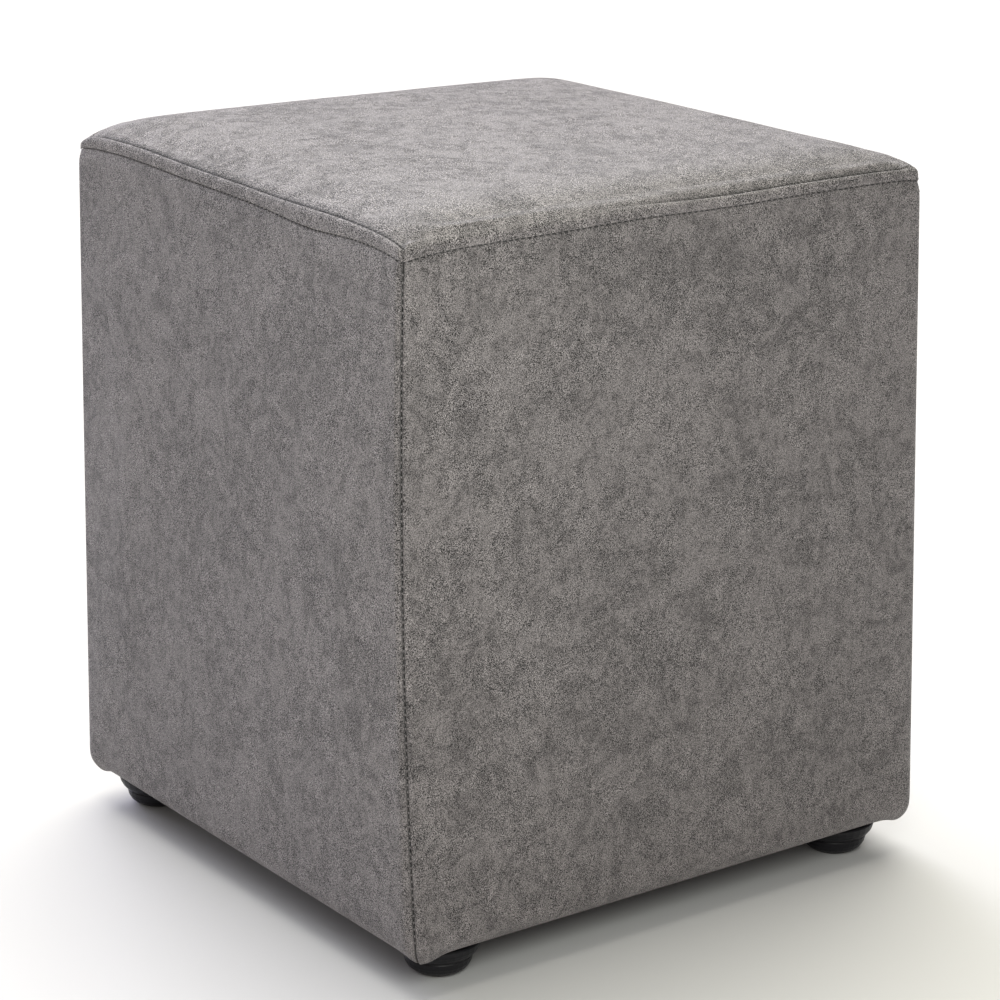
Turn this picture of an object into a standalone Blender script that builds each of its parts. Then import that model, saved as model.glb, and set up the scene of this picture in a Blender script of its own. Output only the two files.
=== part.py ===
"""Cube pouf stool: a padded, box-shaped cover of five sewn panels, standing on four glide feet.

Units are metres and +Z is up. The origin is on the floor under the middle of the stool, and the
front faces -Y. A side panel is placed by three numbers: how far along its side a point lies, from
-1 at one corner seam to 1 at the next, how deep it lies behind the face, and how high it is.
"""

import math

import bmesh
import bpy
from mathutils import Matrix, Vector

# Driving dimensions of the cover
WIDTH = 0.350  # across the faces, at the hem
HEM_HEIGHT = 0.0184  # flat underside, above the floor
SEAM_HEIGHT = 0.3938  # seam between side and top panels
TAPER = 0.0045  # each side is this much further in at the seam than at the hem
CORNER_RADIUS = 0.010  # of the four upright corners, in plan
PANEL_DEPTH = 0.028  # cloth and padding of a side panel
GAP = 0.0003  # left between neighbouring pieces

# How the padding shapes a side panel
FACE_CROWN = 0.0015  # how far the middle of a face stands out
HEM_ROLL = 0.0140  # radius over which the cloth turns under
HEM_FLAT = 0.0160  # inset at which the turned-under cloth lies flat
SEAM_ROLL_HEIGHT = 0.011  # height over which a face rolls in to the top seam
SEAM_ROLL_DEPTH = 0.0028
CORNER_ROLL_WIDTH = 0.006  # distance over which a face rolls in to a corner seam
CORNER_ROLL_DEPTH = 0.0014

# How the padding shapes the top panel
CUSHION_RISE = 0.0121  # from the crease to the flat of the cushion
CUSHION_FIRMNESS = 14.0  # a high number holds the cushion flat nearly up to its edge
DOME_RISE = 0.0037  # extra height in the middle
PAD_DROP = 0.0060  # the pad's flat underside, below the seam

# Section through the edge of the top panel, from the seam up: the seam allowance is pressed
# up under the cloth, which makes a puffy band with a crease above it
BAND_SECTION = (
    {"inset": 0.0028, "rise": 0.0000},
    {"inset": 0.0008, "rise": 0.0011},
    {"inset": 0.0001, "rise": 0.0026},
    {"inset": 0.0009, "rise": 0.0043},
    {"inset": 0.0028, "rise": 0.0056},
    {"inset": 0.0046, "rise": 0.0059},
    {"inset": 0.0056, "rise": 0.0056},
)

# How far each corner of the soft cover has moved from the true square. Across is towards +X and
# along is towards +Y, both at the top seam. Sway is how far the middle of the corner seam lies to
# one side. Up raises the top seam, pull is how far the seam dips just at the corner, and droop is
# how far the folded hem hangs there
CORNERS = (
    {
        "x": -1, "y": -1, "across": -0.0036, "along": 0.0030, "sway": 0.0026,
        "up": 0.0035, "pull": 0.0031, "droop": 0.0024,
    },
    {
        "x": 1, "y": -1, "across": -0.0023, "along": 0.0022, "sway": 0.0,
        "up": 0.0003, "pull": 0.0028, "droop": 0.0022,
    },
    {
        "x": 1, "y": 1, "across": 0.0, "along": 0.0, "sway": 0.0,
        "up": -0.0060, "pull": 0.0030, "droop": 0.0020,
    },
    {
        "x": -1, "y": 1, "across": 0.0026, "along": -0.0008, "sway": 0.0,
        "up": 0.0039, "pull": 0.0037, "droop": 0.0024,
    },
)
PULL_SHARPNESS = 12  # the dip dies away with this power of the place along the side
DROOP_SHARPNESS = 30  # and the hanging hem with this one
DROOP_FADE = 8  # power of the height with which the hanging hem dies away up the side
DROOP_INSET = 0.0090  # the hem hangs in full this far in from the face

# Soft waves of the top seam: turns round the stool, height and start in radians
SEAM_WAVES = (
    {"turns": 7, "height": 0.00035, "start": 0.4},
    {"turns": 13, "height": 0.00025, "start": 2.1},
)

# Base and feet
BASE_THICKNESS = 0.015
BASE_EDGE = 0.002
# From the faces in to the middle of a foot: across from the left and right, along from front and back
FOOT_INSETS = {
    "front": {"across": 0.0365, "along": 0.0310},
    "back": {"across": 0.0325, "along": 0.0325},
}
FLANGE_RADIUS = 0.0230
FLANGE_EDGE = 0.0008
FLANGE_LOW = 0.0161  # height at which the flange starts to curve in
FLANGE_BEND = Vector((0.0224, 0, 0.0122))  # the flange's underside bends towards here
BOWL_RADIUS = 0.0187
BOWL_HEIGHT = 0.0093
BOWL_GROOVE = 0.0004  # depth of the groove between flange and bowl
BOWL_EDGE = 0.0006
BOWL_BEND = Vector((0.0183, 0, 0.0026))  # the bowl's side bends towards here
SOLE_RADIUS = 0.0118

# Mesh resolution
STEPS_ACROSS = 22  # on each side
STEPS_HEM = 5
STEPS_FACE = 6
STEPS_SEAM = 4
STEPS_CUSHION = 9
STEPS_CURVE = 4  # on each curve of a foot
STEPS_FOOT = 32
CORNER_CROWDING = 2.2  # a higher number packs a side's steps closer to its corners
EDGE_CROWDING = 1.8  # and the cushion's rings closer to its edge
SHARP_ANGLE = math.radians(40)  # edges sharper than this are shaded sharp

SIDES = ("front", "right", "back", "left")  # each a quarter turn on from the one before
SIDE_GREY = (0.185, 0.178, 0.180, 1.0)
TOP_GREY = (0.235, 0.226, 0.228, 1.0)
BASE_BLACK = (0.020, 0.020, 0.022, 1.0)
FOOT_BLACK = (0.013, 0.013, 0.016, 1.0)


def clear_scene():
    for obj in list(bpy.data.objects):
        bpy.data.objects.remove(obj, do_unlink=True)


def principled(name, colour, roughness, metallic=0.0):
    """A material with one Principled BSDF."""
    material = bpy.data.materials.new(name)
    material.use_nodes = True
    shader = material.node_tree.nodes["Principled BSDF"]
    shader.inputs["Base Color"].default_value = colour
    shader.inputs["Roughness"].default_value = roughness
    shader.inputs["Metallic"].default_value = metallic
    return material


def finished(name, bm, material):
    """Turns a bmesh into a named, smooth-shaded object."""
    bmesh.ops.recalc_face_normals(bm, faces=bm.faces)
    mesh = bpy.data.meshes.new(name)
    bm.to_mesh(mesh)
    bm.free()
    mesh.materials.append(material)
    mesh.shade_smooth()
    mesh.set_sharp_from_angle(angle=SHARP_ANGLE)
    obj = bpy.data.objects.new(name, mesh)
    bpy.context.scene.collection.objects.link(obj)
    return obj


def spaced(fraction):
    """Moves an even spacing from -1 to 1 so that its steps get finer towards both ends."""
    return math.copysign(1 - (1 - abs(fraction)) ** CORNER_CROWDING, fraction)


def outline(along, inset, gap=0.0):
    """A point of the front side's rounded outline, short of the corner seams by half a gap."""
    half = WIDTH / 2 - inset
    radius = max(CORNER_RADIUS - inset, 0.0)
    straight = half - radius
    reach = abs(along) * (straight + radius * math.pi / 4 - gap / math.sqrt(2))
    turn = (reach - straight) / radius if reach > straight and radius > 0 else 0.0
    x = min(reach, straight) + radius * math.sin(turn)
    y = radius * (1 - math.cos(turn)) - half
    return Vector((math.copysign(x, along), y, 0))


def turned(point, side):
    """Carries a point of the front side round to another side."""
    return Matrix.Rotation(side * math.pi / 2, 3, "Z") @ point


def height_share(height):
    """0 at the hem and 1 at the top seam."""
    return min(max((height - HEM_HEIGHT) / (SEAM_HEIGHT - HEM_HEIGHT), 0), 1)


def settled(point):
    """Moves a point of the true square cover as its four uneven corners pull it."""
    across = min(max(point.x / WIDTH + 0.5, 0), 1)
    along = min(max(point.y / WIDTH + 0.5, 0), 1)
    rise = height_share(point.z)
    moved = point.copy()
    for corner in CORNERS:
        share = across if corner["x"] > 0 else 1 - across
        share *= along if corner["y"] > 0 else 1 - along
        sway = corner["sway"] * rise * (1 - rise) * 4
        moved.x += (corner["across"] * rise + corner["y"] * sway) * share
        moved.y += (corner["along"] * rise - corner["x"] * sway) * share
        moved.z += corner["up"] * share * rise**2
    return moved


def nearest(side, along):
    """The corner at the end of a side that a point is nearer to."""
    return CORNERS[(side + (1 if along > 0 else 0)) % 4]


def seam_dip(side, along):
    """How far the top seam lies under its true height at one place."""
    dip = nearest(side, along)["pull"] * abs(along) ** PULL_SHARPNESS
    turn = (side + (along + 1) / 2) / 4 * 2 * math.pi
    for wave in SEAM_WAVES:
        dip += wave["height"] * math.sin(wave["turns"] * turn + wave["start"])
    return dip


def wall_section():
    """Inset and height of a side panel's face, from its turned-under hem up to the seam."""
    section = [(HEM_FLAT, HEM_HEIGHT)]
    for step in range(STEPS_HEM + 1):
        turn = math.pi / 2 * step / STEPS_HEM
        inset = HEM_ROLL * (1 - math.sin(turn))
        section.append((inset, HEM_HEIGHT + HEM_ROLL * (1 - math.cos(turn))))
    low = HEM_HEIGHT + HEM_ROLL
    high = SEAM_HEIGHT - GAP / 2 - SEAM_ROLL_HEIGHT
    for step in range(1, STEPS_FACE + 1):
        section.append((0.0, low + (high - low) * step / STEPS_FACE))
    for step in range(1, STEPS_SEAM + 1):
        turn = math.pi / 2 * step / STEPS_SEAM
        inset = SEAM_ROLL_DEPTH * (1 - math.cos(turn))
        section.append((inset, high + SEAM_ROLL_HEIGHT * math.sin(turn)))
    return section


def face_crown(along, height):
    """How far the padding pushes the face out, less its roll towards the corner seam."""
    crown = FACE_CROWN * (1 - along**2) * math.sqrt(math.sin(math.pi * height_share(height)))
    from_seam = (1 - abs(along)) * WIDTH / 2
    return crown - CORNER_ROLL_DEPTH * max(1 - from_seam / CORNER_ROLL_WIDTH, 0) ** 2


def hem_droop(side, along, inset, height):
    """How far the folded hem hangs at a corner of the underside."""
    from_edge = min(max((HEM_FLAT - inset) / (HEM_FLAT - DROOP_INSET), 0), 1)
    fold = nearest(side, along)["droop"] * abs(along) ** DROOP_SHARPNESS
    return fold * from_edge * (1 - height_share(height)) ** DROOP_FADE


def panel_point(side, along, inset, height):
    """A point of a side panel in the stool's own frame."""
    point = outline(along, inset + TAPER * height_share(height), GAP)
    point.z = height - seam_dip(side, along) * height_share(height) ** 2
    return settled(turned(point, side))


def side_panel(side):
    """A padded side panel: a face with its hem turned under, mitred to its neighbours."""
    section = wall_section()
    bm = bmesh.new()
    bmesh.ops.create_grid(bm, x_segments=STEPS_ACROSS, y_segments=len(section) - 1, size=1)
    rim = [edge for edge in bm.edges if edge.is_boundary]
    made = bmesh.ops.extrude_edge_only(bm, edges=rim)["geom"]
    back = [part for part in made if isinstance(part, bmesh.types.BMVert)]
    bmesh.ops.translate(bm, verts=back, vec=(0, 0, 1))
    bmesh.ops.contextual_create(bm, geom=[part for part in made if isinstance(part, bmesh.types.BMEdge)])
    for vert in bm.verts:
        along = spaced(vert.co.x)
        inset, height = section[round((vert.co.y + 1) / 2 * (len(section) - 1))]
        if vert.co.z > 0.5:
            vert.co = panel_point(side, along, PANEL_DEPTH, height)
            continue
        inset -= face_crown(along, height)
        height -= hem_droop(side, along, inset, height)
        vert.co = panel_point(side, along, inset, height)
    cloth = principled(f"cloth_{SIDES[side]}", SIDE_GREY, 0.9)
    return finished(f"side_panel_{SIDES[side]}", bm, cloth)


def cushion_rise(point):
    """Height of the cushion above its crease: flat on top, falling away near all four edges."""
    edge = WIDTH / 2 - TAPER - BAND_SECTION[-1]["inset"]
    across = min(abs(point.x) / edge, 1)
    along = min(abs(point.y) / edge, 1)
    cushion = (1 - across**CUSHION_FIRMNESS) * (1 - along**CUSHION_FIRMNESS)
    dome = (1 - across**2) * (1 - along**2)
    return CUSHION_RISE * cushion + DOME_RISE * dome


def top_rings():
    """Rings of the top panel in order, from where it leaves the side panels to its middle."""
    rings = [{"scale": 1.0, "inset": PANEL_DEPTH, "rise": 0.0}]
    rings += [{"scale": 1.0, **row} for row in BAND_SECTION]
    for step in range(1, STEPS_CUSHION + 1):
        scale = 1 - (step / (STEPS_CUSHION + 1)) ** EDGE_CROWDING
        rings.append({"scale": scale, **BAND_SECTION[-1]})
    return rings


def ring_point(side, along, ring):
    """A point of one ring of the top panel in the stool's own frame."""
    point = turned(outline(along, ring["inset"] + TAPER) * ring["scale"], side)
    point.z = SEAM_HEIGHT + GAP / 2 + ring["rise"]
    if ring["scale"] < 1:
        point.z += cushion_rise(point)
    point.z -= seam_dip(side, along) * ring["scale"] ** PULL_SHARPNESS
    return settled(point)


def pad_point(side, along):
    """A point of the rim of the pad's flat underside."""
    point = turned(outline(along, PANEL_DEPTH + TAPER + PAD_DROP), side)
    point.z = SEAM_HEIGHT - PAD_DROP
    return point


def top_panel():
    """The top cushion: a flat underside, the seam, the puffy band, the crease and the crown."""
    rings = top_rings()
    bm = bmesh.new()
    bmesh.ops.create_circle(bm, cap_ends=True, segments=STEPS_ACROSS * 4, radius=1)
    rim = list(bm.edges)
    for _ in rings:
        made = bmesh.ops.extrude_edge_only(bm, edges=rim)["geom"]
        raised = [part for part in made if isinstance(part, bmesh.types.BMVert)]
        bmesh.ops.translate(bm, verts=raised, vec=(0, 0, 1))
        rim = [part for part in made if isinstance(part, bmesh.types.BMEdge)]
        rim = [edge for edge in rim if edge.is_boundary]
    bmesh.ops.contextual_create(bm, geom=rim)
    for vert in bm.verts:
        turn = math.atan2(vert.co.y, vert.co.x) / (math.pi / 2) + 1.5
        step = round(turn * STEPS_ACROSS) % (4 * STEPS_ACROSS)
        side = step // STEPS_ACROSS
        along = spaced(step % STEPS_ACROSS / STEPS_ACROSS * 2 - 1)
        level = round(vert.co.z)
        vert.co = pad_point(side, along) if level == 0 else ring_point(side, along, rings[level - 1])
    return finished("top_panel", bm, principled("cloth_top", TOP_GREY, 0.9))


def base_panel():
    """The plain board that closes the underside between the side panels."""
    bm = bmesh.new()
    bmesh.ops.create_cube(bm, size=1)
    side = WIDTH - 2 * (PANEL_DEPTH + GAP)
    middle = HEM_HEIGHT + BASE_THICKNESS / 2
    bmesh.ops.scale(bm, verts=bm.verts, vec=(side, side, BASE_THICKNESS))
    bmesh.ops.translate(bm, verts=bm.verts, vec=(0, 0, middle))
    low = [edge for edge in bm.edges if all(vert.co.z < middle for vert in edge.verts)]
    bmesh.ops.bevel(bm, geom=low, offset=BASE_EDGE, segments=2, profile=0.5, affect="EDGES", material=-1)
    return finished("base_panel", bm, principled("base_board", BASE_BLACK, 0.8))


def curve(start, pull, end):
    """Points after the start of a smooth curve that bends towards pull on its way to the end."""
    for step in range(1, STEPS_CURVE + 1):
        share = step / STEPS_CURVE
        yield start.lerp(pull, share).lerp(pull.lerp(end, share), share)


def foot_profile():
    """Half section of a foot from its flat top out and down: flange, underside, bowl and sole."""
    top = HEM_HEIGHT - GAP
    rim = Vector((FLANGE_RADIUS, 0, FLANGE_LOW))
    groove = Vector((BOWL_RADIUS - BOWL_GROOVE, 0, BOWL_HEIGHT))
    shoulder = Vector((BOWL_RADIUS, 0, BOWL_HEIGHT - BOWL_EDGE))
    yield Vector((0, 0, top))
    yield Vector((FLANGE_RADIUS - FLANGE_EDGE, 0, top))
    yield Vector((FLANGE_RADIUS, 0, top - FLANGE_EDGE))
    yield rim
    yield from curve(rim, FLANGE_BEND, groove)
    yield shoulder
    yield from curve(shoulder, BOWL_BEND, Vector((SOLE_RADIUS, 0, 0)))
    yield Vector((0, 0, 0))


def foot_mesh():
    """One moulded glide foot, turned about +Z at the origin."""
    bm = bmesh.new()
    verts = [bm.verts.new(point) for point in foot_profile()]
    edges = [bm.edges.new(pair) for pair in zip(verts, verts[1:])]
    bmesh.ops.spin(
        bm, geom=verts + edges, axis=(0, 0, 1), cent=(0, 0, 0), angle=2 * math.pi,
        steps=STEPS_FOOT, use_merge=True, use_normal_flip=True,
    )
    bmesh.ops.remove_doubles(bm, verts=bm.verts, dist=0.00001)
    return bm


def foot(name, x, y):
    """A glide foot at one corner of the underside."""
    obj = finished(name, foot_mesh(), principled(f"plastic_{name}", FOOT_BLACK, 0.45))
    obj.location = (x, y, 0)


def feet():
    for end, inset in FOOT_INSETS.items():
        x = WIDTH / 2 - inset["across"]
        y = WIDTH / 2 - inset["along"]
        foot(f"foot_{end}_left", -x, -y if end == "front" else y)
        foot(f"foot_{end}_right", x, -y if end == "front" else y)


def main():
    clear_scene()
    for side in range(len(SIDES)):
        side_panel(side)
    top_panel()
    base_panel()
    feet()


main()
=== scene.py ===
"""Cube pouf stool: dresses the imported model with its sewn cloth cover, stitching, feet and finishes.

Units are metres and +Z is up. The stool stands on the floor over the origin and its front faces -Y.
A place on the cover is given by its side (0 front, 1 right, 2 back, 3 left), by how far along the
side it lies, from -1 at one corner seam to 1 at the next, and by how deep it lies behind the face.
"""

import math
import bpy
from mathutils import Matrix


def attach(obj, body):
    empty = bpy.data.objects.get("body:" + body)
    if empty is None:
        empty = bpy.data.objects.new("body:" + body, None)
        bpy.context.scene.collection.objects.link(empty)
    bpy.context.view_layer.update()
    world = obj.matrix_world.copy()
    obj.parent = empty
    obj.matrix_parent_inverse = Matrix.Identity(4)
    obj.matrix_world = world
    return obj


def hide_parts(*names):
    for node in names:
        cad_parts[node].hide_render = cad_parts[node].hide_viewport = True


bl_info = {
    "name": "Cube Pouf Stool",
    "version": (1, 0, 0),
    "blender": (4, 5, 0),
    "location": "3D View > Sidebar > Pouf",
    "description": "Sews the cover of a cube pouf stool round its packed model and lights it",
    "category": "Object",
}

import bmesh
import bpy
import numpy as np
from mathutils import Matrix, Vector, noise

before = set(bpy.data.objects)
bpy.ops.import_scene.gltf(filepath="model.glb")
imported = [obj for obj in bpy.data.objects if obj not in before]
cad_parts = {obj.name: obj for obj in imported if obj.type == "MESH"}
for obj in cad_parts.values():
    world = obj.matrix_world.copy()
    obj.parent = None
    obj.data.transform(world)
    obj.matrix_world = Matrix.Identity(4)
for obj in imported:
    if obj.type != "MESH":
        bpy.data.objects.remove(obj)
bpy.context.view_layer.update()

BODY = "root"
SIDES = ("front", "right", "back", "left")
FEET = ("foot_front_left", "foot_front_right", "foot_back_left", "foot_back_right")

# How far each corner of the soft cover has moved from the true square, at the top seam. Across is
# towards +X and along towards +Y. Sway is how far the middle of the corner seam lies to one side.
# Up raises the seam, pull is how far it dips just at the corner, droop is how far the hem hangs, and
# band is how much higher the band above the seam is there
CORNERS = (
    {
        "x": -1, "y": -1, "across": -0.0036, "along": 0.0030, "sway": 0.0026,
        "up": 0.0035, "pull": 0.0031, "droop": 0.0024, "band": 0.0,
    },
    {
        "x": 1, "y": -1, "across": -0.0023, "along": 0.0022, "sway": 0.0,
        "up": 0.0003, "pull": 0.0028, "droop": 0.0036, "band": 0.0003,
    },
    {
        "x": 1, "y": 1, "across": 0.0, "along": 0.0, "sway": 0.0,
        "up": -0.0060, "pull": 0.0030, "droop": 0.0020, "band": -0.0005,
    },
    {
        "x": -1, "y": 1, "across": 0.0026, "along": -0.0008, "sway": 0.0,
        "up": 0.0039, "pull": 0.0037, "droop": 0.0044, "band": -0.0026,
    },
)

# How close to its corner each pull on the cloth keeps: it falls off as this power of the way there
DIP_POWER = 12
BAND_POWER = 24
DROOP_POWER = 30

# Soft waves of the top seam round the whole stool, and places where it sags
SEAM_WAVES = (
    {"turns": 7, "height": 0.00035, "start": 0.4},
    {"turns": 13, "height": 0.00025, "start": 2.1},
)
SEAM_SAGS = ({"side": 3, "along": 0.50, "spread": 0.20, "depth": 0.0030},)

# Where the folded hem hangs in a nose beside a corner seam, and up to which inset a fold hangs free
HEM_NOSES = ({"side": 0, "end": -1, "away": 0.0075, "spread": 0.007, "depth": 0.0020},)
HEM_FREE = 0.009

# How a corner seam draws the cloth in, by a slow roll and a sharp tuck, and the room left in the seam
CORNER_ROLL = {"depth": 0.0006, "spread": 0.006}
CORNER_TUCK = {"spread": 0.0004, "power": 1.3}
SEAM_ROOM = 0.0003

# Section of a side's upper edge in millimetres: inset behind the face, and rise above the top seam
SEAM_EDGE = (
    (0.0, -9.0), (0.15, -6.5), (0.45, -4.4), (0.8, -2.9), (1.08, -1.9),
    (1.25, -1.2), (1.38, -0.6), (1.6, -0.27), (2.3, -0.17), (4.0, -0.15),
)

# Section of the band round the top in millimetres: inset, rise, the rise it has where no crease shows
# above it, and how deep in that crease it lies, from 0 to 1, which sets its painted shade
BAND = (
    (4.0, 0.15, 0.15, 0.0), (2.3, 0.17, 0.17, 0.0), (1.6, 0.27, 0.27, 0.0), (1.38, 0.6, 0.6, 0.0),
    (1.25, 1.2, 1.2, 0.0), (1.2, 1.9, 1.9, 0.0), (1.2, 2.8, 2.8, 0.0), (1.3, 3.8, 3.8, 0.0),
    (1.6, 4.7, 4.7, 0.0), (2.1, 5.4, 5.4, 0.0), (2.8, 5.85, 6.05, 0.0), (3.5, 5.9, 6.65, 0.0),
    (4.0, 5.5, 7.0, 0.4), (4.25, 4.9, 7.2, 0.9), (4.45, 4.7, 7.35, 1.0), (4.7, 5.0, 7.55, 1.0),
    (5.3, 6.0, 8.1, 1.0),
)
# Rings of the band that rise less than this, in millimetres, lie in the top seam
SEAM_RISE = 0.2

# Height of the band, how much higher it is on each side, and how a corner seam pinches it in
BAND_HEIGHT = 0.0058
BAND_EXTRA = (0.0, 0.0006, 0.0006, 0.0012)
BAND_PINCH = {"depth": 0.0008, "spread": 0.0011, "low": 0.0012, "high": 0.0056}

# Ends of sides at which the crease fades out: how far from the end, as shares of the side, it starts
# to show and is clear
CREASE_FADES = (
    {"side": 0, "along": -1.0, "faint": 0.33, "clear": 0.62},
    {"side": 0, "along": 1.0, "faint": 0.004, "clear": 0.04},
    {"side": 3, "along": -1.0, "faint": 0.004, "clear": 0.04},
    {"side": 1, "along": -1.0, "faint": 0.08, "clear": 0.45},
    {"side": 2, "along": 1.0, "faint": 0.10, "clear": 0.45},
)

# Powers that shape the cushion: how square its outline is, and how close to its edge it falls away
CUSHION_SQUARENESS = 36
CUSHION_POWER = 14

# Where the painted shade of a seam starts behind a side's face, and how far it reaches from a corner seam
SEAM_PAINTED_SHADE = 0.0015
CORNER_PAINTED_SHADE = 0.0003
# The same painted shade for the corner seams of the band, and how far the crease's painted shade reaches
# into the cushion, as a share of the way to the middle of the top
PINCH_PAINTED_SHADE = {"most": 0.9, "reach": 0.0005}
CREASE_PAINTED_SHADE = 0.004375

# Steps of the meshes before their subdivision, and how much finer they get towards an edge
HEM_STEPS = 8
FACE_STEPS = 40
ACROSS_STEPS = 60
CUSHION_STEPS = 48
CROWDING = 2.2

# How the cloth settles: for how long, how hard the padding presses, and how far it may move. It is
# sewn down this near to a corner seam, and past this share of the way to the crease
SETTLE_FRAMES = 20
SETTLE_PRESSURE = 1.0
SETTLE_MOST = 0.0016
SEWN_AT_CORNER = 0.004
SEWN_AT_CREASE = 0.985

# The rows of stitches. A corner row starts at a share of the hem's roll, ends below the top seam and
# lies at a share of the top row's depth
TOP_ROW_STEPS = 60
CORNER_ROW = {"steps": 80, "start": 0.9, "end": 0.004, "depth": 0.6}

# The studio: half the width of its floor, its lights, and its camera, which is given in degrees,
# metres and the photo's pixels
FLOOR_HALF = 9
SKY = {"colour": (1.0, 0.96, 0.925, 1.0), "strength": 0.42}
SUNS = (
    {
        "name": "overhead_light", "towards": (0.32, 0.46, 1.0),
        "power": 4.36, "spread": 64, "colour": (1.0, 0.98, 0.87),
    },
    {
        "name": "rear_light", "towards": (0.0, 0.9, 0.45),
        "power": 2.8, "spread": 50, "colour": (0.85, 0.85, 1.1),
    },
)
LAMPS = (
    {
        "name": "corner_light", "place": (-0.34, -0.66, 0.52), "target": (-0.12, -0.17, 0.24),
        "size": (0.35, 0.35), "power": 2.3, "colour": (1.0, 1.04, 0.97),
    },
    {
        "name": "low_fill", "place": (-0.75, -1.25, 0.07), "target": (0.02, -0.17, 0.05),
        "size": (0.9, 0.12), "power": 2.6, "colour": (1.0, 0.8, 0.74),
    },
)
CAMERA = {
    "azimuth": -35.655, "elevation": 17.699, "distance": 1.9573, "aim_right": 0.00428, "aim_height": 0.19781,
    "focal_pixels": 3433.6, "photo_pixels": 1000,
}


class CoverSizes(bpy.types.PropertyGroup):
    """Sizes of the sewn cover."""

    width: bpy.props.FloatProperty(
        name="Width", description="Across two faces, at the hem", default=0.350, unit="LENGTH"
    )
    hem_height: bpy.props.FloatProperty(
        name="Hem height", description="Flat underside above the floor", default=0.0184, unit="LENGTH"
    )
    seam_height: bpy.props.FloatProperty(
        name="Seam height", description="Top seam above the floor", default=0.3938, unit="LENGTH"
    )
    taper: bpy.props.FloatProperty(
        name="Taper", description="How much further in a side is at its top", default=0.0045, unit="LENGTH"
    )
    corner_radius: bpy.props.FloatProperty(
        name="Corner radius", description="Of the upright corners", default=0.010, unit="LENGTH"
    )
    panel_depth: bpy.props.FloatProperty(
        name="Panel depth", description="Cloth and padding of a side", default=0.028, unit="LENGTH"
    )
    face_crown: bpy.props.FloatProperty(
        name="Face crown", description="How far a face's middle stands out", default=0.0010, unit="LENGTH"
    )
    hem_roll: bpy.props.FloatProperty(
        name="Hem roll", description="Radius over which the cloth turns under", default=0.0140, unit="LENGTH"
    )
    hem_flat: bpy.props.FloatProperty(
        name="Hem flat", description="Inset at which the turned hem lies flat", default=0.0160, unit="LENGTH"
    )
    cushion_rise: bpy.props.FloatProperty(
        name="Cushion rise", description="From the crease to the flat top", default=0.0121, unit="LENGTH"
    )
    cushion_dome: bpy.props.FloatProperty(
        name="Cushion dome", description="Extra height in the top's middle", default=0.0030, unit="LENGTH"
    )
    seam_tuck: bpy.props.FloatProperty(
        name="Seam tuck", description="How deep a corner seam pulls cloth in", default=0.0018, unit="LENGTH"
    )
    stitch_pitch: bpy.props.FloatProperty(
        name="Stitch pitch", description="From one stitch to the next", default=0.0038, unit="LENGTH"
    )
    stitch_length: bpy.props.FloatProperty(
        name="Stitch length", description="How much of each stitch shows", default=0.0014, unit="LENGTH"
    )
    thread_width: bpy.props.FloatProperty(
        name="Thread width", description="Thickness of the sewing thread", default=0.0009, unit="LENGTH"
    )
    stitch_depth: bpy.props.FloatProperty(
        name="Stitch depth", description="Of the stitches in the top seam", default=0.00165, unit="LENGTH"
    )


class Finishes(bpy.types.PropertyGroup):
    """Colours of the stool."""

    cloth_light: bpy.props.FloatVectorProperty(
        name="Cloth, light", description="Where the nap is smooth", subtype="COLOR", default=(0.16, 0.15, 0.15)
    )
    cloth_dark: bpy.props.FloatVectorProperty(
        name="Cloth, dark", description="In mottled patches", subtype="COLOR", default=(0.098, 0.092, 0.0925)
    )
    thread: bpy.props.FloatVectorProperty(
        name="Thread", description="Sewing thread", subtype="COLOR", default=(0.13, 0.122, 0.122)
    )
    thread_light: bpy.props.FloatVectorProperty(
        name="Thread, light", description="On top of its ply", subtype="COLOR", default=(0.18, 0.17, 0.17)
    )
    foot_black: bpy.props.FloatVectorProperty(
        name="Feet", description="Moulded plastic", subtype="COLOR", default=(0.006, 0.006, 0.008)
    )
    foot_scuff: bpy.props.FloatVectorProperty(
        name="Scuffs", description="Where the feet are worn", subtype="COLOR", default=(0.02, 0.02, 0.024)
    )
    dust_cover: bpy.props.FloatVectorProperty(
        name="Dust cover", description="Cloth under the stool", subtype="COLOR", default=(0.022, 0.022, 0.024)
    )
    dust_fibre: bpy.props.FloatVectorProperty(
        name="Dust fibres", description="Lighter fibres in it", subtype="COLOR", default=(0.05, 0.05, 0.054)
    )
    floor: bpy.props.FloatVectorProperty(
        name="Floor", description="Studio floor", subtype="COLOR", default=(0.55, 0.55, 0.55)
    )


# Shape of the cover


def cover():
    """The sizes that the cover is sewn to."""
    return bpy.context.scene.pouf_cover


def crowded(fraction):
    """Moves an even spacing from -1 to 1 so that its steps get finer towards both ends."""
    return math.copysign(1 - (1 - abs(fraction)) ** CROWDING, fraction)


def outline(along, inset, gap=0.0):
    """A point of the front side's rounded outline, short of the corner seams by half a gap."""
    half = cover().width / 2 - inset
    radius = max(cover().corner_radius - inset, 0.0)
    straight = half - radius
    reach = abs(along) * (straight + radius * math.pi / 4 - gap / math.sqrt(2))
    turn = (reach - straight) / radius if reach > straight and radius > 0 else 0.0
    x = min(reach, straight) + radius * math.sin(turn)
    y = radius * (1 - math.cos(turn)) - half
    return Vector((math.copysign(x, along), y, 0))


def turned(point, side):
    """Carries a point of the front side round to another side."""
    return Matrix.Rotation(side * math.pi / 2, 3, "Z") @ point


def height_share(height):
    """0 at the hem and 1 at the top seam."""
    low = cover().hem_height
    return min(max((height - low) / (cover().seam_height - low), 0), 1)


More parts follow.
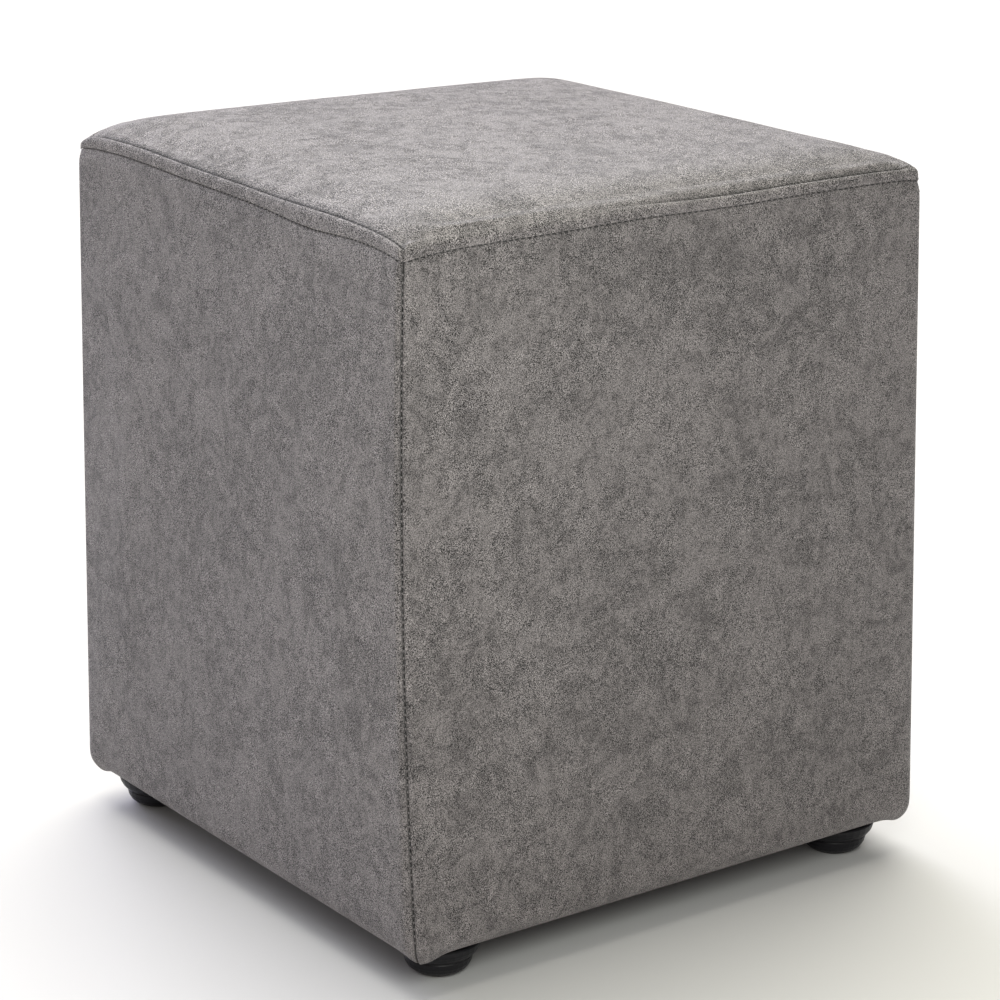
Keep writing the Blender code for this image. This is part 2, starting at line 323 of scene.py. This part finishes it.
def settled(point):
    """Moves a point of the true square cover as its four uneven corners pull it."""
    across = min(max(point.x / cover().width + 0.5, 0), 1)
    along = min(max(point.y / cover().width + 0.5, 0), 1)
    rise = height_share(point.z)
    moved = point.copy()
    for corner in CORNERS:
        share = across if corner["x"] > 0 else 1 - across
        share *= along if corner["y"] > 0 else 1 - along
        sway = corner["sway"] * rise * (1 - rise) * 4
        moved.x += (corner["across"] * rise + corner["y"] * sway) * share
        moved.y += (corner["along"] * rise - corner["x"] * sway) * share
        moved.z += corner["up"] * share * rise**2
    return moved


def nearest(side, along):
    """The corner at the nearer end of a side."""
    return CORNERS[(side + (1 if along > 0 else 0)) % 4]


def seam_dip(side, along):
    """How far the top seam lies under its true height at one place."""
    dip = nearest(side, along)["pull"] * abs(along) ** DIP_POWER
    turn = (side + (along + 1) / 2) / 4 * 2 * math.pi
    for wave in SEAM_WAVES:
        dip += wave["height"] * math.sin(wave["turns"] * turn + wave["start"])
    return dip


def seam_sag(side, along):
    """How far the seam sags below the band, where the cloth under it is loose."""
    return sum(
        sag["depth"] * math.exp(-(((along - sag["along"]) / sag["spread"]) ** 2))
        for sag in SEAM_SAGS
        if sag["side"] == side
    )


def band_extra(side, along):
    """How much higher the band is than its section, at one place."""
    corner = abs(along) ** BAND_POWER
    return BAND_EXTRA[side] * (1 - corner) + nearest(side, along)["band"] * corner


def from_corner(along):
    """Distance from the nearer corner seam."""
    return (1 - abs(along)) * cover().width / 2


def corner_tuck(along):
    """How far a corner seam pulls the cloth in: a slow roll and then a sharp tuck."""
    away = from_corner(along)
    roll = CORNER_ROLL["depth"] * max(1 - away / CORNER_ROLL["spread"], 0) ** 2
    tuck = cover().seam_tuck * math.exp(-((away / CORNER_TUCK["spread"]) ** CORNER_TUCK["power"]))
    return roll + tuck


def face_crown(along, height):
    """How far a face stands out at one place, most of all in its middle."""
    share = height_share(height)
    return cover().face_crown * (1 - along**2) * math.sqrt(math.sin(math.pi * share))


def hem_droop(side, along, inset, height):
    """How far the folded hem hangs at a corner of the underside."""
    flat = cover().hem_flat
    from_edge = min(max((flat - inset) / (flat - HEM_FREE), 0), 1)
    fold = nearest(side, along)["droop"] * abs(along) ** DROOP_POWER
    for nose in HEM_NOSES:
        if nose["side"] == side and along * nose["end"] > 0:
            fold += nose["depth"] * math.exp(-(((from_corner(along) - nose["away"]) / nose["spread"]) ** 2))
    return fold * from_edge * (1 - height_share(height)) ** 8


def panel_point(side, along, inset, height):
    """A point of a side panel in the stool's own frame."""
    point = outline(along, inset + cover().taper * height_share(height), SEAM_ROOM)
    share = height_share(height)
    point.z = height - seam_dip(side, along) * share**2 - seam_sag(side, along) * share**6
    return settled(turned(point, side))


def wall_section():
    """Inset and height of a side's cloth, from its turned hem up into the top seam."""
    roll = cover().hem_roll
    low = cover().hem_height
    section = [(cover().hem_flat, low)]
    for step in range(HEM_STEPS + 1):
        turn = math.pi / 2 * step / HEM_STEPS
        section.append((roll * (1 - math.sin(turn)), low + roll * (1 - math.cos(turn))))
    high = cover().seam_height + SEAM_EDGE[0][1] / 1000
    for step in range(1, FACE_STEPS):
        section.append((0.0, low + roll + (high - low - roll) * step / FACE_STEPS))
    for inset, rise in SEAM_EDGE:
        section.append((inset / 1000, cover().seam_height + rise / 1000))
    return section


def crease_share(side, along):
    """How clearly the crease above the band shows, from 0 to 1."""
    share = 1.0
    for fade in CREASE_FADES:
        if fade["side"] == side:
            away = abs(along - fade["along"]) / 2
            shown = min(max((away - fade["faint"]) / (fade["clear"] - fade["faint"]), 0), 1)
            share *= shown * shown * (3 - 2 * shown)
    return share


def band_painted_shade(rise, depth, side, along):
    """How deep in the seam or in the crease a ring of the band lies, from 0 to 1, which sets its painted
    shade.
    """
    return 1.0 if rise < SEAM_RISE else depth * crease_share(side, along)


def cushion_height(point):
    """Height of the cushion above its crease: flat on top, falling away near all four edges."""
    edge = cover().width / 2 - cover().taper - BAND[-1][0] / 1000
    across = min(abs(point.x) / edge, 1)
    along = min(abs(point.y) / edge, 1)
    nearer = min((across**CUSHION_SQUARENESS + along**CUSHION_SQUARENESS) ** (1 / CUSHION_SQUARENESS), 1)
    dome = (1 - across**2) * (1 - along**2)
    return cover().cushion_rise * (1 - nearer**CUSHION_POWER) + cover().cushion_dome * dome


def ring_point(side, along, inset, rise, smooth=0.0, scale=1.0):
    """A point of the top, on a ring that follows the seam at some inset, rise and scale.

    Smooth is the ring's rise where no crease shows.
    """
    pinch = 0.0
    if BAND_PINCH["low"] < rise < BAND_PINCH["high"]:
        pinch = BAND_PINCH["depth"] * math.exp(-((from_corner(along) / BAND_PINCH["spread"]) ** 2))
    point = turned(outline(along, inset + cover().taper + pinch) * scale, side)
    lift = rise / BAND_HEIGHT
    point.z = cover().seam_height + rise
    point.z += band_extra(side, along) * lift * scale**BAND_POWER - seam_sag(side, along) * max(1 - lift, 0)
    point.z += max(smooth - rise, 0) * (1 - crease_share(side, along)) * scale**BAND_POWER
    if scale < 1:
        point.z += cushion_height(point)
    point.z -= seam_dip(side, along) * scale**DIP_POWER
    return settled(point)


# Mesh making


def piece_from(bm, name, material, pads=()):
    """Makes a finished piece of a bmesh, which rides on the stool and takes the place of its pads."""
    bmesh.ops.recalc_face_normals(bm, faces=bm.faces)
    mesh = bpy.data.meshes.new(name)
    bm.to_mesh(mesh)
    bm.free()
    mesh.materials.append(material)
    mesh.shade_smooth()
    obj = bpy.data.objects.new(name, mesh)
    bpy.context.scene.collection.objects.link(obj)
    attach(obj, BODY)
    if pads:
        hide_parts(*pads)
    return obj


def paint_crease_shade(mesh, painted_shade_depths):
    """Stores how deep in a seam or crease each vertex lies, as painted shade that darkens the cloth's colour.
    """
    layer = mesh.attributes.new("crease", "FLOAT", "POINT")
    layer.data.foreach_set("value", painted_shade_depths)


def group(obj, name, weights):
    """Stores a weight for each vertex of a piece."""
    made = obj.vertex_groups.new(name=name)
    for index, weight in enumerate(weights):
        made.add([index], weight, "REPLACE")


def settle_cloth(pieces):
    """Lets the cloth of padded pieces swell and settle, sewn down at its seams."""
    scene = bpy.context.scene
    for piece in pieces:
        cloth = piece.modifiers.new("Cloth", "CLOTH")
        cloth.settings.quality = 5
        cloth.settings.mass = 0.3
        cloth.settings.tension_stiffness = 60
        cloth.settings.compression_stiffness = 60
        cloth.settings.shear_stiffness = 30
        cloth.settings.bending_stiffness = 4
        cloth.settings.vertex_group_mass = "sewn"
        cloth.settings.vertex_group_shrink = "slack"
        cloth.settings.shrink_min = 0.0
        cloth.settings.shrink_max = -0.006
        cloth.settings.use_pressure = True
        cloth.settings.uniform_pressure_force = SETTLE_PRESSURE
        cloth.settings.effector_weights.gravity = 0
        cloth.collision_settings.use_collision = False
        cloth.point_cache.frame_start = 1
        cloth.point_cache.frame_end = SETTLE_FRAMES
    for step in range(1, SETTLE_FRAMES + 1):
        scene.frame_set(step)
    graph = bpy.context.evaluated_depsgraph_get()
    for piece in pieces:
        count = len(piece.data.vertices)
        rest = np.empty(count * 3)
        piece.data.vertices.foreach_get("co", rest)
        moved = np.empty(count * 3)
        piece.evaluated_get(graph).data.vertices.foreach_get("co", moved)
        move = (moved - rest).reshape(-1, 3)
        length = np.linalg.norm(move, axis=1, keepdims=True)
        print(piece.name, "cloth moved", round(float(length.max()) * 1000, 2), "mm")
        move *= np.minimum(1, SETTLE_MOST / np.maximum(length, 1e-9))
        piece.modifiers.remove(piece.modifiers["Cloth"])
        piece.data.vertices.foreach_set("co", (rest.reshape(-1, 3) + move).ravel())
        piece.data.update()
    scene.frame_set(1)


def refined(piece, levels=2):
    """Applies a subdivision surface and then closes the hidden back of the pad."""
    smooth = piece.modifiers.new("Subdivision", "SUBSURF")
    smooth.levels = levels
    smooth.render_levels = levels
    smooth.boundary_smooth = "PRESERVE_CORNERS"
    graph = bpy.context.evaluated_depsgraph_get()
    mesh = bpy.data.meshes.new_from_object(piece.evaluated_get(graph))
    old = piece.data
    piece.modifiers.clear()
    piece.data = mesh
    bpy.data.meshes.remove(old)
    mesh.name = piece.name
    piece.vertex_groups.clear()
    bm = bmesh.new()
    bm.from_mesh(mesh)
    bmesh.ops.contextual_create(bm, geom=[edge for edge in bm.edges if edge.is_boundary])
    bmesh.ops.recalc_face_normals(bm, faces=bm.faces)
    bm.to_mesh(mesh)
    bm.free()
    mesh.shade_smooth()


def slack_at(point):
    """How loose the cloth is at a place, from 0 to 1."""
    broad = noise.noise(point * 22)
    fine = noise.noise(point * 55)
    return min(max(0.5 + 0.9 * broad + 0.4 * fine, 0), 1)


def blank(across, up, rings, step):
    """Cloth before it takes its shape: a flat grid and some rings round it, each a step further along Z."""
    bm = bmesh.new()
    bmesh.ops.create_grid(bm, x_segments=across, y_segments=up, size=1)
    rim = [edge for edge in bm.edges if edge.is_boundary]
    for _ in range(rings):
        made = bmesh.ops.extrude_edge_only(bm, edges=rim)["geom"]
        outer = [part for part in made if isinstance(part, bmesh.types.BMVert)]
        bmesh.ops.translate(bm, verts=outer, vec=(0, 0, step))
        rim = [part for part in made if isinstance(part, bmesh.types.BMEdge) and part.is_boundary]
    return bm


def cloth_piece(bm, name, node, material, sewn, painted_shades):
    """Makes a padded piece of the cover, with a weight and a painted shade for each vertex."""
    piece = piece_from(bm, name, material, (node,))
    paint_crease_shade(piece.data, painted_shades)
    group(piece, "sewn", sewn)
    group(piece, "slack", [slack_at(vert.co) for vert in piece.data.vertices])
    return piece


def side_panel(side, material):
    """One padded side: its face, the hem turned under it and its edges tucked into the seams."""
    section = wall_section()
    rows = len(section) - 1
    face_start = 1 + HEM_STEPS
    face_end = rows - len(SEAM_EDGE) + 1
    bm = blank(ACROSS_STEPS, rows, 1, 1)
    sewn = []
    painted_shades = []
    for vert in bm.verts:
        along = crowded(vert.co.x)
        row = round((vert.co.y + 1) / 2 * rows)
        inset, height = section[row]
        if vert.co.z > 0.5:
            height = section[0][1] + (section[-1][1] - section[0][1]) * row / rows
            vert.co = panel_point(side, along, cover().panel_depth, height)
            sewn.append(1.0)
            painted_shades.append(1.0)
            continue
        free = from_corner(along) > SEWN_AT_CORNER and face_start < row < face_end
        sewn.append(0.0 if free else 1.0)
        # Painted shade: the colour darkens where the cloth lies in the top seam and near a corner seam
        in_seam = 1.0 if inset > SEAM_PAINTED_SHADE and row > face_start else 0.0
        painted_shades.append(max(in_seam, 1 - from_corner(along) / CORNER_PAINTED_SHADE, 0))
        inset += corner_tuck(along) - face_crown(along, height)
        height -= hem_droop(side, along, inset, height)
        vert.co = panel_point(side, along, inset, height)
    name = SIDES[side]
    return cloth_piece(bm, f"side_cloth_{name}", f"side_panel_{name}", material, sewn, painted_shades)


def side_place(x, y):
    """The side nearest to a place on the blank top, and how far along it and out to it the place lies."""
    if abs(y) >= abs(x):
        side, along = (0, x) if y < 0 else (2, -x)
    else:
        side, along = (1, y) if x > 0 else (3, -y)
    out = max(abs(x), abs(y))
    return side, along / out if out > 0 else 0.0, out


def top_cushion(material):
    """The padded top: its crown, the crease, the puffy band and the edge tucked into the seam."""
    rings = [*reversed(BAND[:-1]), (cover().panel_depth * 1000, 0.0, 0.0, 0.0)]
    bm = blank(CUSHION_STEPS, CUSHION_STEPS, len(rings), -1)
    sewn = []
    painted_shades = []
    for vert in bm.verts:
        side, along, out = side_place(crowded(vert.co.x), crowded(vert.co.y))
        level = round(-vert.co.z)
        inset, rise, smooth, depth = rings[level - 1] if level > 0 else BAND[-1]
        scale = 1.0 if level > 0 else out
        vert.co = ring_point(side, along, inset / 1000, rise / 1000, smooth / 1000, scale)
        sewn.append(0.0 if scale < SEWN_AT_CREASE else 1.0)
        # Painted shade: the colour darkens in the seam and the crease, fading into the cushion, and at the
        # band's corner seams
        shade = band_painted_shade(rise, depth, side, along) * math.exp(-(((1 - scale) / CREASE_PAINTED_SHADE) ** 2))
        if level > 0 and rise / 1000 < BAND_PINCH["high"]:
            shade = max(shade, PINCH_PAINTED_SHADE["most"] - from_corner(along) / PINCH_PAINTED_SHADE["reach"])
        painted_shades.append(shade)
    return cloth_piece(bm, "top_cushion", "top_panel", material, sewn, painted_shades)


# Finishes


class Value:
    """A socket that can stand in a sum: each sum on it adds a Math node."""

    def __init__(self, recipe, socket):
        self.recipe = recipe
        self.socket = socket

    def math(self, operation, *values):
        """Adds a Math node for an operation on this and other values."""
        return self.recipe.node("ShaderNodeMath", {"operation": operation}, *values)

    def sine(self):
        return self.math("SINE", self)

    def __add__(self, other):
        return self.math("ADD", self, other)

    def __radd__(self, other):
        return self.math("ADD", other, self)

    def __sub__(self, other):
        return self.math("SUBTRACT", self, other)

    def __rsub__(self, other):
        return self.math("SUBTRACT", other, self)

    def __mul__(self, other):
        return self.math("MULTIPLY", self, other)

    def __rmul__(self, other):
        return self.math("MULTIPLY", other, self)


class Recipe:
    """Builds one material out of nodes."""

    def __init__(self, name):
        self.material = bpy.data.materials.new(name)
        self.material.use_nodes = True
        self.tree = self.material.node_tree
        self.shader = self.tree.nodes["Principled BSDF"]
        self.place = self.node("ShaderNodeTexCoord", {}, out="Object")

    def feed(self, socket, value):
        """Links a socket to another, or sets its number or colour."""
        if isinstance(value, Value):
            self.tree.links.new(value.socket, socket)
        elif isinstance(value, (tuple, list)) and len(socket.default_value) == 4:
            socket.default_value = (*value[:3], 1.0)
        else:
            socket.default_value = value

    def node(self, kind, settings, *values, out=0, **named):
        """Adds a node: its settings first, then the values or links of its sockets."""
        made = self.tree.nodes.new(kind)
        for setting, value in settings.items():
            setattr(made, setting, value)
        for index, value in enumerate(values):
            self.feed(made.inputs[index], value)
        for name, value in named.items():
            self.feed(next(socket for socket in made.inputs if socket.identifier == name), value)
        return Value(self, made.outputs[out])

    def noise(self, place, scale, detail=2.0, roughness=0.5, distortion=0.0):
        """A soft noise from 0 to 1."""
        return self.node(
            "ShaderNodeTexNoise", {}, out="Fac", Vector=place, Scale=scale, Detail=detail,
            Roughness=roughness, Distortion=distortion,
        )

    def stretched(self, place, scale, rotation=(0, 0, 0)):
        """Stretches and turns the place that a pattern reads."""
        return self.node("ShaderNodeMapping", {}, Vector=place, Scale=scale, Rotation=rotation)

    def ramp(self, value, low, high, start=0.0, end=1.0):
        """Maps low to high onto start to end, clamped and eased at both ends."""
        return self.node(
            "ShaderNodeMapRange", {"interpolation_type": "SMOOTHSTEP"}, value, low, high, start, end
        )

    def mix(self, share, first, second, kind="MIX"):
        """Mixes two colours."""
        return self.node(
            "ShaderNodeMix", {"data_type": "RGBA", "blend_type": kind}, out=2,
            Factor_Float=share, A_Color=first, B_Color=second,
        )

    def grey(self, value):
        """Turns a number into a grey colour."""
        return self.node("ShaderNodeCombineColor", {}, value, value, value)

    def bump(self, height, distance, strength=1.0):
        """Raises the surface by a height, from 0 to 1, times a distance."""
        return self.node("ShaderNodeBump", {}, Strength=strength, Distance=distance, Height=height)

    def set(self, **inputs):
        """Sets inputs of the material's shader, named with underscores for spaces."""
        for name, value in inputs.items():
            self.feed(self.shader.inputs[name.replace("_", " ")], value)


def napped_cloth(name, grain_depth, lift):
    """Short-napped grey cloth with a fine pebble grain, mottled where the nap lies another way.

    The grain depth is how strongly the pebbles show, and lift is painted light that lightens the whole colour.
    Seams and the crease above the band get painted shade in the colour, darker at each stitch along a seam.
    """
    colours = bpy.context.scene.pouf_finishes
    cloth = Recipe(name)
    place = cloth.place
    broad = cloth.noise(place, scale=14, detail=2, roughness=0.5, distortion=0.4)
    smoke = cloth.noise(place, scale=50, detail=3, roughness=0.52, distortion=2.0)
    leaning = cloth.stretched(place, scale=(1.0, 1.0, 0.7), rotation=(0.25, 0.2, 0.3))
    wisps = cloth.noise(leaning, scale=115, detail=2, roughness=0.5, distortion=1.6)
    patch = cloth.ramp(0.2 * broad + 0.45 * smoke + 0.35 * wisps, 0.385, 0.585)
    oblong = cloth.stretched(place, scale=(1.0, 0.74, 1.0), rotation=(0.6, 0.45, 0.7))
    pebble = cloth.noise(oblong, scale=2000, detail=0)
    worn = cloth.noise(place, scale=40, detail=2, roughness=0.5, distortion=1.2)
    rough = cloth.ramp(worn, 0.38, 0.62, start=0.7, end=1.2)
    grain = (pebble - 0.5) * rough * cloth.ramp(patch, 0, 1, start=1.15, end=0.85)
    # The crease attribute holds painted shade: how deep each place lies in a seam or crease
    crease = cloth.node("ShaderNodeAttribute", {"attribute_name": "crease"}, out="Fac")
    run = cloth.node(
        "ShaderNodeVectorMath", {"operation": "DOT_PRODUCT"}, place, (1.0, 1.0, 1.0), out="Value"
    )
    stitch_painted_shade = (run * (2 * math.pi / cover().stitch_pitch)).sine()
    # Painted light and shade: lift lightens the colour, and it darkens in seams and the crease, more at each
    # stitch; the pebble grain is the cloth's own
    shade = lift * (1 + grain_depth * grain) * (1 - crease * (0.55 + 0.25 * stitch_painted_shade))
    colour = cloth.mix(patch, tuple(colours.cloth_dark), tuple(colours.cloth_light))
    cloth.set(
        Base_Color=cloth.mix(1.0, colour, cloth.grey(shade), "MULTIPLY"),
        Roughness=0.88 - 0.12 * patch,
        Sheen_Weight=0.22,
        Sheen_Roughness=0.45,
        Specular_IOR_Level=0.25,
        Normal=cloth.bump(grain + 0.5, 0.0005),
    )
    return cloth.material


def sewing_thread(name):
    """Grey thread with a fine ply."""
    colours = bpy.context.scene.pouf_finishes
    thread = Recipe(name)
    ply = thread.noise(thread.place, scale=2600)
    thread.set(
        Base_Color=thread.mix(ply, tuple(colours.thread), tuple(colours.thread_light)),
        Roughness=0.75,
        Normal=thread.bump(ply, 0.0001),
    )
    return thread.material


def moulded_plastic(name):
    """Satin black plastic with a faint moulded texture and scuffs."""
    colours = bpy.context.scene.pouf_finishes
    plastic = Recipe(name)
    scuff = plastic.noise(plastic.place, scale=160, detail=4, roughness=0.6, distortion=0.5)
    skin = plastic.noise(plastic.place, scale=1800)
    worn = plastic.ramp(scuff, 0.55, 0.8, start=0.0, end=0.35)
    plastic.set(
        Base_Color=plastic.mix(worn, tuple(colours.foot_black), tuple(colours.foot_scuff)),
        Roughness=0.34 + 0.2 * scuff,
        Specular_IOR_Level=0.3,
        Normal=plastic.bump(skin, 0.00008),
    )
    return plastic.material


def dust_cloth(name):
    """Thin black non-woven cloth, embossed with small dots."""
    colours = bpy.context.scene.pouf_finishes
    cloth = Recipe(name)
    place = cloth.place
    dots = cloth.node(
        "ShaderNodeTexVoronoi", {"voronoi_dimensions": "2D"}, out="Distance", Vector=place, Scale=520.0,
        Randomness=0.0,
    )
    brushed = cloth.stretched(place, scale=(1.0, 0.3, 1.0), rotation=(0, 0, 0.5))
    fibres = cloth.noise(brushed, scale=900, detail=3, roughness=0.7, distortion=1.0)
    cloth.set(
        Base_Color=cloth.mix(fibres, tuple(colours.dust_cover), tuple(colours.dust_fibre)),
        Roughness=0.85,
        Normal=cloth.bump(cloth.ramp(dots, 0.1, 0.4) + 0.3 * fibres, 0.00012),
    )
    return cloth.material


# Operators


class SideCloth(bpy.types.Operator):
    """Sew the four padded sides of the cover."""

    bl_idname = "pouf.side_cloth"
    bl_label = "Side cloth"

    def execute(self, context):
        material = napped_cloth("grey_napped_cloth_sides", grain_depth=4.6, lift=1.0)
        pieces = [side_panel(side, material) for side in range(4)]
        settle_cloth(pieces)
        for piece in pieces:
            refined(piece)
        return {"FINISHED"}


class TopCushion(bpy.types.Operator):
    """Sew the padded top of the cover."""

    bl_idname = "pouf.top_cushion"
    bl_label = "Top cushion"

    def execute(self, context):
        # Painted light: the top's copy of the cloth is made lighter than the sides', as if more light fell on
        # it
        piece = top_cushion(napped_cloth("grey_napped_cloth_top_painted_lighter", grain_depth=5.8, lift=1.09))
        settle_cloth([piece])
        refined(piece)
        return {"FINISHED"}


def one_stitch():
    """A stitch as a mesh, before it is stretched to size: a ball of radius 1 with its poles along X."""
    bm = bmesh.new()
    lying = Matrix.Rotation(math.pi / 2, 4, "Y")
    bmesh.ops.create_uvsphere(bm, u_segments=8, v_segments=7, radius=1, matrix=lying)
    mesh = bpy.data.meshes.new("stitch")
    bm.to_mesh(mesh)
    bm.free()
    return mesh


def stitch_row(whole, points, outward):
    """Lays a row of stitches along a path of points."""
    stitch = one_stitch()
    bm = bmesh.new()
    length = sum((b - a).length for a, b in zip(points, points[1:]))
    count = max(round(length / cover().stitch_pitch), 1)
    pitch = length / count
    half = cover().thread_width / 2
    step = 0
    walked = 0.0
    for number in range(count):
        target = (number + 0.5) * pitch
        while step < len(points) - 2 and walked + (points[step + 1] - points[step]).length < target:
            walked += (points[step + 1] - points[step]).length
            step += 1
        run = (points[step + 1] - points[step]).normalized()
        centre = points[step] + run * (target - walked)
        side = run.cross(outward).normalized()
        turn = Matrix((run, side, run.cross(side))).transposed().to_4x4()
        size = Matrix.Diagonal((cover().stitch_length / 2, half, half, 1))
        laid = stitch.copy()
        laid.transform(Matrix.Translation(centre) @ turn @ size)
        bm.from_mesh(laid)
        bpy.data.meshes.remove(laid)
    bm.to_mesh(stitch)
    bm.free()
    whole.from_mesh(stitch)
    bpy.data.meshes.remove(stitch)


class SeamStitches(bpy.types.Operator):
    """Sew the stitches that show in the seams."""

    bl_idname = "pouf.seam_stitches"
    bl_label = "Seam stitches"

    def execute(self, context):
        thread = sewing_thread("grey_sewing_thread")
        depth = cover().stitch_depth
        bm = bmesh.new()
        for side in range(4):
            steps = [crowded(step / TOP_ROW_STEPS) for step in range(-TOP_ROW_STEPS, TOP_ROW_STEPS + 1)]
            points = [ring_point(side, along, depth, 0.0) for along in steps]
            stitch_row(bm, points, turned(Vector((0, -1, 0)), side))
        piece_from(bm, "top_seam_stitches", thread)
        low = cover().hem_height + cover().hem_roll * CORNER_ROW["start"]
        high = cover().seam_height - CORNER_ROW["end"]
        heights = [low + (high - low) * step / CORNER_ROW["steps"] for step in range(CORNER_ROW["steps"] + 1)]
        bm = bmesh.new()
        for side in range(4):
            points = [panel_point(side, -1.0, depth * CORNER_ROW["depth"], height) for height in heights]
            stitch_row(bm, points, turned(Vector((-1, -1, 0)).normalized(), side))
        piece_from(bm, "corner_seam_stitches", thread)
        return {"FINISHED"}


class Feet(bpy.types.Operator):
    """Finish the four glide feet."""

    bl_idname = "pouf.feet"
    bl_label = "Feet"

    def execute(self, context):
        plastic = moulded_plastic("black_moulded_plastic")
        for name in FEET:
            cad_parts[name].material_slots[0].material = plastic
        return {"FINISHED"}


class DustCover(bpy.types.Operator):
    """Finish the underside."""

    bl_idname = "pouf.dust_cover"
    bl_label = "Dust cover"

    def execute(self, context):
        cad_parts["base_panel"].material_slots[0].material = dust_cloth("black_dust_cover")
        return {"FINISHED"}


def hung(name, light):
    """Puts a light in the scene."""
    obj = bpy.data.objects.new(name, light)
    bpy.context.scene.collection.objects.link(obj)
    return obj


def lamp(name, place, target, size, power, colour):
    """Hangs a soft box at a place and turns it to its target."""
    light = bpy.data.lights.new(name, "AREA")
    light.shape = "RECTANGLE"
    light.size, light.size_y = size
    light.energy = power
    light.color = colour
    obj = hung(name, light)
    obj.location = place
    obj.rotation_euler = (Vector(target) - Vector(place)).to_track_quat("-Z", "Y").to_euler()
    obj.visible_camera = False


def soft_sun(name, towards, power, spread, colour):
    """Hangs a wide, far light that shines from one way."""
    light = bpy.data.lights.new(name, "SUN")
    light.energy = power
    light.angle = math.radians(spread)
    light.color = colour
    hung(name, light).rotation_euler = Vector(towards).to_track_quat("Z", "Y").to_euler()


def studio_floor():
    """Lays a wide pale floor under the stool."""
    bm = bmesh.new()
    bmesh.ops.create_grid(bm, x_segments=1, y_segments=1, size=FLOOR_HALF)
    mesh = bpy.data.meshes.new("studio_floor")
    bm.to_mesh(mesh)
    bm.free()
    floor = bpy.data.objects.new("studio_floor", mesh)
    bpy.context.scene.collection.objects.link(floor)
    paint = Recipe("studio_floor_paint")
    paint.set(Base_Color=tuple(bpy.context.scene.pouf_finishes.floor), Roughness=0.9)
    mesh.materials.append(paint.material)


def studio_sky():
    """Fills the studio with even light."""
    world = bpy.data.worlds.new("studio")
    world.use_nodes = True
    background = world.node_tree.nodes["Background"]
    background.inputs["Color"].default_value = SKY["colour"]
    background.inputs["Strength"].default_value = SKY["strength"]
    bpy.context.scene.world = world


def studio_camera():
    """Stands the camera where the photo was taken from, turned to the middle of the stool."""
    azimuth = math.radians(CAMERA["azimuth"])
    elevation = math.radians(CAMERA["elevation"])
    level = math.cos(elevation)
    right = Vector((math.cos(azimuth), math.sin(azimuth), 0))
    back = Vector((math.sin(azimuth) * level, -math.cos(azimuth) * level, math.sin(elevation)))
    up = back.cross(right)
    target = right * CAMERA["aim_right"] + Vector((0, 0, CAMERA["aim_height"]))
    camera = bpy.data.cameras.new("camera")
    camera.sensor_width = 36
    camera.lens = camera.sensor_width * CAMERA["focal_pixels"] / CAMERA["photo_pixels"]
    camera.clip_end = 50
    obj = bpy.data.objects.new("camera", camera)
    turn = Matrix((right, up, back)).transposed().to_4x4()
    obj.matrix_world = Matrix.Translation(target + back * CAMERA["distance"]) @ turn
    bpy.context.scene.collection.objects.link(obj)
    bpy.context.scene.camera = obj


class Stage(bpy.types.Operator):
    """Lay the studio floor, hang its lights and set the camera."""

    bl_idname = "pouf.stage"
    bl_label = "Stage"

    def execute(self, context):
        studio_floor()
        studio_sky()
        for sun in SUNS:
            soft_sun(**sun)
        for box in LAMPS:
            lamp(**box)
        studio_camera()
        context.scene.view_settings.view_transform = "Standard"
        return {"FINISHED"}


class PoufPanel(bpy.types.Panel):
    """Lists the stool's pieces and sizes."""

    bl_idname = "VIEW3D_PT_pouf"
    bl_label = "Cube pouf stool"
    bl_space_type = "VIEW_3D"
    bl_region_type = "UI"
    bl_category = "Pouf"

    def draw(self, context):
        for operator in OPERATORS:
            self.layout.operator(operator.bl_idname)
        for settings in (context.scene.pouf_cover, context.scene.pouf_finishes):
            box = self.layout.box()
            for name in settings.__annotations__:
                box.prop(settings, name)


OPERATORS = (SideCloth, TopCushion, SeamStitches, Feet, DustCover, Stage)
CLASSES = (CoverSizes, Finishes, *OPERATORS, PoufPanel)


def register():
    for cls in CLASSES:
        bpy.utils.register_class(cls)
    bpy.types.Scene.pouf_cover = bpy.props.PointerProperty(type=CoverSizes)
    bpy.types.Scene.pouf_finishes = bpy.props.PointerProperty(type=Finishes)


def unregister():
    del bpy.types.Scene.pouf_finishes
    del bpy.types.Scene.pouf_cover
    for cls in reversed(CLASSES):
        bpy.utils.unregister_class(cls)


def main():
    """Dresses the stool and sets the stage."""
    register()
    bpy.ops.pouf.side_cloth()
    bpy.ops.pouf.top_cushion()
    bpy.ops.pouf.seam_stitches()
    bpy.ops.pouf.feet()
    bpy.ops.pouf.dust_cover()
    bpy.ops.pouf.stage()


if __name__ == "__main__":
    main()
